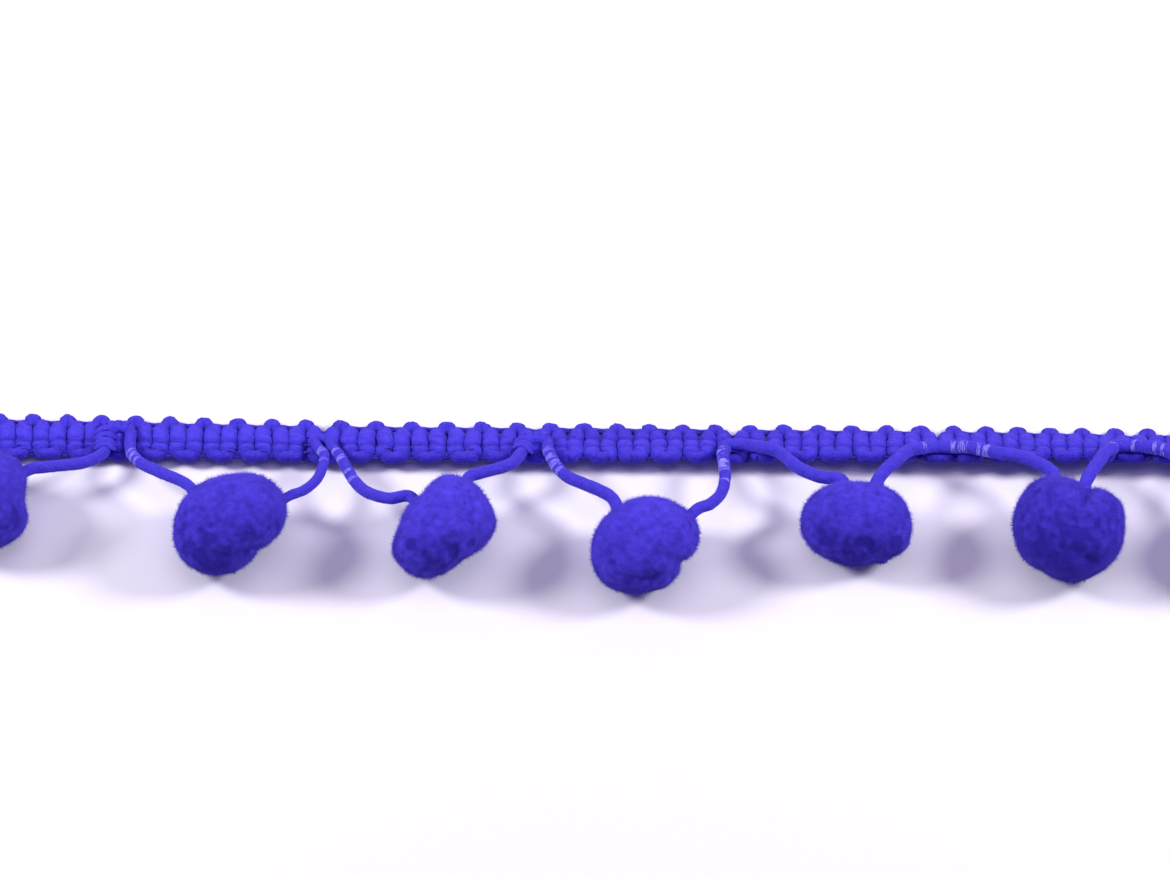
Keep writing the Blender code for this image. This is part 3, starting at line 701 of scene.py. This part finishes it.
# onLeg: loops that cover the left leg, by crossing, in mm down from its top
yarnLoops = {
    "onTop": 3, "onLeg": {1: (0.40, 1.15, 1.95, 2.70), 3: (0.40, 1.15, 1.85)},
    "half": 0.36, "over": 0.06, "reach": 88.0, "turnSpread": 0.1, "slant": 0.05,
    "topThick": 0.12, "legThick": 0.17, "legSpread": 0.35, "spreadPower": 3,
}


def bulgeSkin(path, sides, ups, half, thick, rng):
    way = np.linspace(-1, 1, len(path))
    lumps = bulges["lumps"] * np.sin(bulges["lumpRate"] * (way + 1))
    swell = 1 + lumps - bulges["endFade"] * way ** bulges["endPower"]
    points, faces = tubeSkin(path, sides, ups, half * swell, thick * swell, bulges["corners"])
    return points, faces, bulges["stand"] + rng.normal(0, bulges["standSpread"], len(points))


# one loop of yarn over the cord, at a distance along it
def loopSkin(along, thick, spread, rng):
    way = np.linspace(-1, 1, bulges["steps"])
    before, middle, after = (readAlong(cordPath, along + shift) for shift in (-0.1, 0, 0.1))
    heading = unit(after - before)
    up = offTape(middle[0])
    up = unit(up - heading * up.dot(heading))
    turn = np.radians(yarnLoops["reach"]) * way + rng.normal(0, yarnLoops["turnSpread"])
    beside = np.cross(up, heading)
    away = np.outer(np.sin(turn), beside) + np.outer(np.cos(turn), up)
    path = middle + away * (cordRadius(middle[0]) + yarnLoops["over"])
    path = path + heading * rng.normal(0, yarnLoops["slant"]) * way[:, None]
    path = path + np.outer(spread * way ** yarnLoops["spreadPower"], beside)
    sides = np.tile(heading, (len(path), 1))
    return bulgeSkin(path, sides, away, yarnLoops["half"], thick, rng)


def crossingBulges(rng):
    blocks = []
    for number in bulges["crossings"]:
        crossing = crossings[number]
        x = (crossing["leftTop"] + crossing["rightTop"]) / 2
        across = np.linspace(crossing["climb"] + bulges["below"], bulges["until"], bulges["steps"])
        path = onTape(x + rng.normal(0, bulges["jitter"], bulges["steps"]), across, bulges["lift"])
        blocks.append(bulgeSkin(path, *carriedFrames(path), bulges["half"], bulges["thick"], rng))
        start, end = legTop(crossing, "left"), legTop(crossing, "right")
        for loop in range(yarnLoops["onTop"]):
            along = mix(start, end, (loop + 0.5) / yarnLoops["onTop"])
            blocks.append(loopSkin(along, yarnLoops["topThick"], 0.0, rng))
        for distance in yarnLoops["onLeg"].get(number, ()):
            blocks.append(loopSkin(start - distance, yarnLoops["legThick"], yarnLoops["legSpread"], rng))
    return blocks


def makeFilling():
    rng = np.random.default_rng(seeds["filling"])
    rows = fillingPath()
    path, wide, thick, shade, across = rows[:, :3], rows[:, 3], rows[:, 4], rows[:, 5], rows[:, 6]
    # where a chain grips the yarn it squeezes it, and the yarn there is darkened with painted shade
    for row in chainRows:
        gap = (across - alongTape(row["across"], path[:, 0])) / filling["gripWidth"]
        grip = alongTape(row["grip"], path[:, 0]) * np.exp(-gap ** 2)
        thick = thick * (1 - filling["gripDepth"] * grip)
        wide = wide * (1 - filling["gripNarrow"] * grip)
        shade = shade + filling["gripPaintedShade"] * grip
    along = tangents(path)
    ups = offTape(path[:, 0])
    ups = unit(ups - along * np.sum(ups * along, axis=1, keepdims=True))
    sides = np.cross(along, ups)
    corners = filling["corners"]
    turns = np.linspace(0, 2 * np.pi, corners, endpoint=False)
    twist = 2 * np.pi * np.arange(len(path)) * filling["step"] / filling["plyPitch"]
    groove = np.cos(filling["plies"] * (turns[None, :] - twist[:, None]))
    strands = strandRipple(len(path), corners, twist, filling["strandRun"], filling["strandDepth"], rng)
    ripple = filling["plyDepth"] * groove + strands
    points, faces = tubeSkin(path, sides, ups, wide, thick, corners, ripple, filling["boxy"])
    # painted shade at the sides of each pass and painted light on its outer face, with the ply and strand
    # grooves darkened
    edges = np.abs(np.cos(turns)) ** filling["edgePower"]
    around = filling["topPaintedLight"] * np.sin(turns) + filling["edgePaintedShade"] * edges
    stand = filling["stand"] + shade[:, None] + around[None, :]
    stand = stand + filling["plyPaintedShade"] * groove + filling["strandPaintedShade"] * strands
    blocks = [(points, faces, stand.ravel())] + crossingBulges(rng)
    piece = makePiece("tapeFilling", blocks, tapeYarn)
    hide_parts("heading_tape")

    root = tapeFuzz["rootShare"]
    hairs = fuzzBlock(path, sides, ups, root * wide, root * thick, tapeFuzz, rng)
    fuzz = makePiece("tapeFuzz", [hairs], tapeYarn)


# each chain has two threads on either face of the tape, drop and spread apart, that sway about each other
chainThreads = {
    "step": 0.20, "corners": 5, "stepsPerStitch": 24, "endGap": 0.1, "coverPower": 0.7, "looseBelow": 0.5,
    "drop": 0.03, "spread": 0.07, "pressed": 0.30, "drawnReach": 1.2, "shade": 0.40,
}

# plain threads along the tape: across, lift, radius and shade; the one at 0.30 is the edge chain, while
# those at 4.08 and 3.80 fill the notches between the near loops and those at 1.90 and 2.75 the gaps between
# passes, as dark threads where there is shade: painted shade
plainAndShadeThreads = [
    (4.08, -0.10, 0.15, 0.0), (3.80, -0.05, 0.12, 0.1), (0.30, -0.04, 0.16, 0.1),
    (1.90, -0.20, 0.18, 0.1), (2.75, -0.20, 0.18, 0.1),
]


def threadBlock(x, across, lift, radius, shade):
    path = evenSteps(onTape(x, across, lift), chainThreads["step"])
    thick = np.full(len(path), radius)
    skin, faces = tubeSkin(path, *carriedFrames(path), thick, thick, chainThreads["corners"])
    return skin, faces, np.full(len(skin), shade)


def makeChains():
    blocks = []
    count = (lastStitch - firstStitch) * chainThreads["stepsPerStitch"]
    stitches = np.linspace(firstStitch + chainThreads["endGap"], lastStitch - chainThreads["endGap"], count)
    x = stitchX(stitches)
    sway = np.sin(2 * np.pi * stitches)
    cover = np.abs(sway) ** chainThreads["coverPower"]      # 1 over each pass of the filling yarn
    for row in chainRows:
        loose = 1 - np.minimum(1, alongTape(row["grip"], x) / chainThreads["looseBelow"])
        seat = row["seat"] - row["buried"] * loose
        for face in (1, -1):
            for strand in (1, -1):
                across = alongTape(row["across"], x) + strand * chainThreads["spread"] * sway
                across = across + drawnDown(x) * farShare(across, chainThreads["drawnReach"])
                lift = mix(row["between"], seat, cover) + strand * chainThreads["drop"]
                lift = (lift - chainThreads["pressed"] * pressedUnder(x, across)) * face
                blocks.append(threadBlock(x, across, lift, row["radius"], chainThreads["shade"]))
    for across, lift, radius, shade in plainAndShadeThreads:
        drawn = drawnDown(x) * farShare(across, chainThreads["drawnReach"])
        sunk = chainThreads["pressed"] * pressedUnder(x, across)
        blocks.append(threadBlock(x, across + drawn, lift - sunk, radius, shade))
    piece = makePiece("tapeChains", blocks, shadedChainThread)


# pompoms: dense shorn pile round a tied middle; pits are hollows darkened with painted shade, more of them
# low down
pile = {
    "ballSteps": 5, "inset": 0.12, "lumpHeight": 0.07, "lumpScale": 2.1, "floorGap": 0.05, "viewTilt": 55.0,
    "clumpSize": 0.80, "clumpEdge": 0.5, "clumpDepth": 0.02, "clumpPower": 1.5,
    "grainSize": 0.62, "grainDepth": 0.04,
    "pitSize": 1.50, "pitDepth": 0.13, "pitFrom": 0.02, "pitSpan": 0.45,
    "pitsAbove": 0.15, "pitsBelow": 0.35,
    # painted shade in the grooves between clumps and in the pits, and painted light that makes the pompom
    # lighter towards the top of the view
    "stand": 0.24, "clumpPaintedShade": 0.08, "grainStand": 0.20, "pitPaintedShade": -0.48, "paintedLightAbove": 0.16,
}
pileHairs = {
    "hairs": 13000, "length": 0.42, "thinPile": 0.75, "shortest": 0.65, "longest": 1.15,
    "wisps": 0.22, "wispLength": 1.4, "width": 0.020, "finest": 0.7, "coarsest": 1.2,
    "root": 0.10, "scatter": 0.38, "plumpLeast": 0.5, "pitThin": 0.8,
    "stand": 0.36, "plumpPaintedShade": 0.24, "standSpread": 0.03, "paintedTipLight": 0.18,
}

# clefts part the pile; one of negative depth is a tuft that stands out. clock and toward place the middle
# in the camera's view, and run turns the line there, all in degrees; width and length are angles in radians
cleftKeys = ("ball", "clock", "toward", "run", "depth", "width", "length")
clefts = [dict(zip(cleftKeys, row)) for row in (
    (0, 205, 20, 30, 0.10, 0.20, 0.6),
    (1, -42, 5, 0, 0.06, 0.13, 0.9),
    (1, -70, 55, 60, 0.08, 0.16, 0.5),
    (1, -100, 48, 10, 0.06, 0.12, 0.3),
    (2, 40, 50, 50, 0.08, 0.15, 0.5),
    (3, -25, 5, 0, 0.08, 0.15, 0.8),
    (3, -80, 50, 80, 0.08, 0.16, 0.5),
    (4, 60, 45, 20, 0.08, 0.15, 0.5),
    (4, -59, 5, 0, -0.10, 0.12, 0.15),
    (5, 70, 20, 0, 0.20, 0.17, 0.9),
    (5, -65, 55, 20, 0.10, 0.15, 0.4),
    (6, -35, 10, 0, 0.12, 0.20, 0.8),
    (6, 120, 40, 40, 0.09, 0.18, 0.6),
)]


# a direction from its clock angle in the camera's view and how far it leans towards the eye
def seenDirection(clock, toward):
    view, clock, toward = (math.radians(angle) for angle in (pile["viewTilt"], clock, toward))
    up = np.array([0, math.sin(view), math.cos(view)])
    eye = np.array([0, -math.cos(view), math.sin(view)])
    flat = np.array([1, 0, 0]) * math.cos(clock) + up * math.sin(clock)
    return flat * math.cos(toward) + eye * math.sin(toward)


# an evenly faced ball, made by halving an icosahedron's edges
def geodesicBall(steps):
    golden = (1 + 5 ** 0.5) / 2
    points = [(-1, golden, 0), (1, golden, 0), (-1, -golden, 0), (1, -golden, 0),
              (0, -1, golden), (0, 1, golden), (0, -1, -golden), (0, 1, -golden),
              (golden, 0, -1), (golden, 0, 1), (-golden, 0, -1), (-golden, 0, 1)]
    faces = np.array([(0, 11, 5), (0, 5, 1), (0, 1, 7), (0, 7, 10), (0, 10, 11),
                      (1, 5, 9), (5, 11, 4), (11, 10, 2), (10, 7, 6), (7, 1, 8),
                      (3, 9, 4), (3, 4, 2), (3, 2, 6), (3, 6, 8), (3, 8, 9),
                      (4, 9, 5), (2, 4, 11), (6, 2, 10), (8, 6, 7), (9, 8, 1)])
    points = unit(np.array(points, float))
    for _ in range(steps):
        pairs = np.sort(np.concatenate([faces[:, [0, 1]], faces[:, [1, 2]], faces[:, [2, 0]]]), axis=1)
        edges, where = np.unique(pairs, axis=0, return_inverse=True)
        where = where.reshape(-1)
        middles = unit(points[edges[:, 0]] + points[edges[:, 1]])
        count = len(faces)
        ab, bc, ca = (where[k * count:(k + 1) * count] + len(points) for k in range(3))
        a, b, c = faces.T
        points = np.vstack([points, middles])
        faces = np.vstack([np.stack([a, ab, ca], 1), np.stack([b, bc, ab], 1),
                           np.stack([c, ca, bc], 1), np.stack([ab, bc, ca], 1)])
    return points, faces


ballPoints, ballFaces = geodesicBall(pile["ballSteps"])
ballHeight = ballPoints @ seenDirection(90, 0)      # 1 at the top of the camera's view, -1 at its foot


# share of the plain ball's reach at each point, so that its rim in the camera's view is the given one
def rimShare(ball, lump):
    view = math.radians(pile["viewTilt"])
    toward = ballPoints @ seenDirection(0, 90)
    clock = np.arctan2(ballHeight, ballPoints[:, 0])
    steps = len(ball["rim"])
    seat = clock / (2 * np.pi) * steps % steps
    knots = np.array(ball["rim"])
    a, b, c, d = (knots[(np.floor(seat).astype(int) + k) % steps] for k in (-1, 0, 1, 2))
    t = seat - np.floor(seat)
    reach = b + 0.5 * t * (c - a + t * (2 * a - 5 * b + 4 * c - d + t * (3 * (b - c) + d - a)))
    highHalf = math.hypot(ball["depth"] / 2 * math.sin(view), ball["height"] / 2 * math.cos(view))
    plain = 1 / np.hypot(np.cos(clock) / (ball["width"] / 2), np.sin(clock) / highHalf)
    return mix(1 + pile["lumpHeight"] * lump, reach / plain, 1 - toward ** 2)


def cleftDepth(cleft):
    middle = seenDirection(cleft["clock"], cleft["toward"])
    lean = seenDirection(cleft["clock"], cleft["toward"] + 90)
    side = np.cross(middle, lean)
    run = math.radians(cleft["run"])
    line = lean * math.cos(run) + side * math.sin(run)
    cross = np.cross(middle, line)
    facing = ballPoints @ middle
    along = np.arctan2(ballPoints @ line, facing) / cleft["length"]
    across = np.arctan2(ballPoints @ cross, facing) / cleft["width"]
    return np.where(facing > 0, cleft["depth"] * np.exp(-along ** 2 - across ** 2), 0.0)


def cornerNormals(points, faces):
    a, b, c = (points[faces[:, k]] for k in range(3))
    flat = np.cross(b - a, c - a)
    normals = np.zeros_like(points)
    for k in range(3):
        np.add.at(normals, faces[:, k], flat)
    return unit(normals)


# the pile's own surface: places, then clump, grain and pit for each point
def pileSurface(index):
    ball = pompoms[index]
    half = np.array([ball["width"], ball["depth"], ball["height"]]) / 2
    lumpSeat = Vector((7.0 * index, 0, 0))            # each pompom reads a part of the noise of its own
    lump = np.array([noise.noise(Vector(d) * pile["lumpScale"] + lumpSeat) for d in ballPoints])
    share = rimShare(ball, lump)
    for cleft in clefts:
        if cleft["ball"] == index:
            share = share - cleftDepth(cleft)
    smoothPlace = ballPoints * half * share[:, None]
    clump, grain, pit = [], [], []
    for point in smoothPlace:
        seat = Vector(point) + Vector((31.0 * index, 5.0, 9.0))
        near, nextNear = noise.voronoi(seat / pile["clumpSize"])[0][:2]
        clump.append(min(nextNear - near, pile["clumpEdge"]) / pile["clumpEdge"])
        grain.append(noise.noise(seat / pile["grainSize"]))
        pit.append(noise.noise(seat / pile["pitSize"] + Vector((0, 40, 0))))
    clump, grain = np.array(clump), np.array(grain)
    below = smooth(pile["pitsBelow"] - ballHeight)
    pit = smooth((np.array(pit) - pile["pitFrom"]) / pile["pitSpan"]) * mix(pile["pitsAbove"], 1.0, below)
    dip = pile["clumpDepth"] * (1 - clump) ** pile["clumpPower"] + pile["pitDepth"] * pit
    inset = pile["inset"] + dip - pile["grainDepth"] * grain
    place = smoothPlace - unit(smoothPlace) * inset[:, None] + pompomCentre(ball)
    place[:, 2] = np.maximum(place[:, 2], pile["floorGap"])
    return place, clump, grain, pit


# short cut ends of pile all over a pompom's surface
def pileHairBlock(place, plump, pale, rng):
    normals = cornerNormals(place, ballFaces)
    a, b, c = (place[ballFaces[:, k]] for k in range(3))
    area = np.linalg.norm(np.cross(b - a, c - a), axis=1)
    count = pileHairs["hairs"]
    face = rng.choice(len(ballFaces), count, p=area / area.sum())
    weights = rng.dirichlet((1, 1, 1), count)
    corners = ballFaces[face]
    roots = np.einsum("nk,nkd->nd", weights, place[corners])
    outward = unit(np.einsum("nk,nkd->nd", weights, normals[corners]))
    plump = np.einsum("nk,nk->n", weights, plump[corners])
    pale = np.einsum("nk,nk->n", weights, pale[corners])
    leans = outward + rng.normal(0, pileHairs["scatter"], (count, 3))
    lengths = pileHairs["length"] * mix(pileHairs["thinPile"], 1.0, plump)
    lengths = lengths * rng.uniform(pileHairs["shortest"], pileHairs["longest"], count)
    lengths = np.where(rng.random(count) < pileHairs["wisps"], lengths * pileHairs["wispLength"], lengths)
    widths = pileHairs["width"] * rng.uniform(pileHairs["finest"], pileHairs["coarsest"], count)
    roots = roots - outward * pileHairs["root"]
    points, faces, tips, hairNormals = hairSkin(roots, leans, lengths, widths, outward, rng)
    # hairs are darker in the pits and clump edges and lighter at their tips: painted shade and light
    shade = pileHairs["stand"] + pileHairs["plumpPaintedShade"] * plump + pale
    shade = shade + rng.normal(0, pileHairs["standSpread"], count)
    stand = np.repeat(shade, 4) + pileHairs["paintedTipLight"] * tips      # a hair has four points
    return points, faces, stand, hairNormals


def makePompom(index):
    rng = np.random.default_rng(seeds["pompoms"] + index)
    place, clump, grain, pit = pileSurface(index)
    # lighter towards the top of the view: painted light; the pompom's own tone and the grain are added to
    # it
    pale = pile["paintedLightAbove"] * ballHeight + pompoms[index]["pale"] + pile["grainStand"] * grain
    stand = pile["stand"] + pile["clumpPaintedShade"] * clump + pile["pitPaintedShade"] * pit + pale
    plump = mix(pileHairs["plumpLeast"], 1.0, clump) - pileHairs["pitThin"] * pit
    blocks = [(place, ballFaces.tolist(), stand), pileHairBlock(place, plump, pale, rng)]
    piece = makePiece(f"pompomPile{index + 1}", blocks, pompomPile)
    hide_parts(f"pompom_{index + 1}")


makeFilling()
makeChains()
makeCord()
makeWhips()
for number in range(len(pompoms)):
    makePompom(number)


# floor, light and camera
studio = {
    "floorHalf": 900.0, "floorColor": (0.86, 0.85, 0.88), "floorMottle": 0.99, "floorMottleScale": 40.0,
    "viewTilt": 55.0, "viewWidth": 105.3, "lensDistance": 1200.0, "sensor": 36.0,
    "centre": (-3.4, 8.54, 0.0), "depthShift": 6.0,
    "lampPower": 1.34, "lampSize": 120.0, "lampReach": 345.0, "lampRise": 275.0, "lampBack": 32.0,
    "leftColor": (1.0, 0.98, 1.0), "rightColor": (1.0, 0.97, 1.0),
    "skyPower": 0.93, "skySize": 450.0, "skyBack": -20.0, "skyRise": 550.0, "skyColor": (0.87, 0.78, 1.0),
    "worldPower": 0.24, "worldColor": (0.74, 0.62, 1.0, 1.0),
}


def makeFloor():
    material, tree, shader = newMaterial("pale paper floor")
    grain = addNode(tree, "ShaderNodeTexNoise")
    setInputs(grain, {"Scale": studio["floorMottleScale"]})
    mottled = [studio["floorMottle"] * value for value in studio["floorColor"]]
    ramp = addRamp(tree, (*mottled, 1.0), (*studio["floorColor"], 1.0))
    tree.links.new(grain.outputs["Fac"], ramp.inputs["Fac"])
    tree.links.new(ramp.outputs["Color"], shader.inputs["Base Color"])
    setInputs(shader, {"Roughness": 0.9, "Specular IOR Level": 0.1})
    reach = studio["floorHalf"] * mm
    corners = [(-reach, -reach, 0), (reach, -reach, 0), (reach, reach, 0), (-reach, reach, 0)]
    mesh = bpy.data.meshes.new("paperFloor")
    mesh.from_pydata(corners, [], [(0, 1, 2, 3)])
    mesh.materials.append(material)
    floor = newObject("paperFloor", mesh)


# turns a lamp or a camera, which look down their own -Z
def aimAlong(thing, direction):
    thing.rotation_mode = "QUATERNION"
    thing.rotation_quaternion = direction.to_track_quat("-Z", "Y")


def makeLamp(name, place, size, power, color):
    light = bpy.data.lights.new(name, "AREA")
    light.shape = "DISK"
    light.size = size * mm
    light.energy = power
    light.color = color
    lamp = newObject(name, light)
    lamp.location = Vector(place) * mm
    aimAlong(lamp, -lamp.location)


def makeLights():
    reach, rise, back = studio["lampReach"], studio["lampRise"], studio["lampBack"]
    size, power = studio["lampSize"], studio["lampPower"]
    makeLamp("leftLamp", (-reach, back, rise), size, power, studio["leftColor"])
    makeLamp("rightLamp", (reach, back, rise), size, power, studio["rightColor"])
    skyPlace = (0, studio["skyBack"], studio["skyRise"])
    makeLamp("skyLamp", skyPlace, studio["skySize"], studio["skyPower"], studio["skyColor"])
    world = bpy.data.worlds.new("studioRoom")
    world.use_nodes = True
    background = world.node_tree.nodes["Background"]
    setInputs(background, {"Color": studio["worldColor"], "Strength": studio["worldPower"]})
    bpy.context.scene.world = world


def makeCamera():
    rise = math.radians(studio["viewTilt"])
    back = Vector((0, -math.cos(rise), math.sin(rise)))
    target = Vector(studio["centre"]) + back * studio["depthShift"]
    lens = bpy.data.cameras.new("photoCamera")
    lens.sensor_width = studio["sensor"]
    lens.lens = studio["sensor"] * studio["lensDistance"] / studio["viewWidth"]
    lens.clip_start = 0.01
    lens.clip_end = 10.0
    camera = newObject("photoCamera", lens)
    camera.location = (target + back * studio["lensDistance"]) * mm
    aimAlong(camera, -back)
    bpy.context.scene.camera = camera


makeFloor()
makeLights()
makeCamera()
bpy.context.scene.view_settings.view_transform = "Standard"
print("studio set")
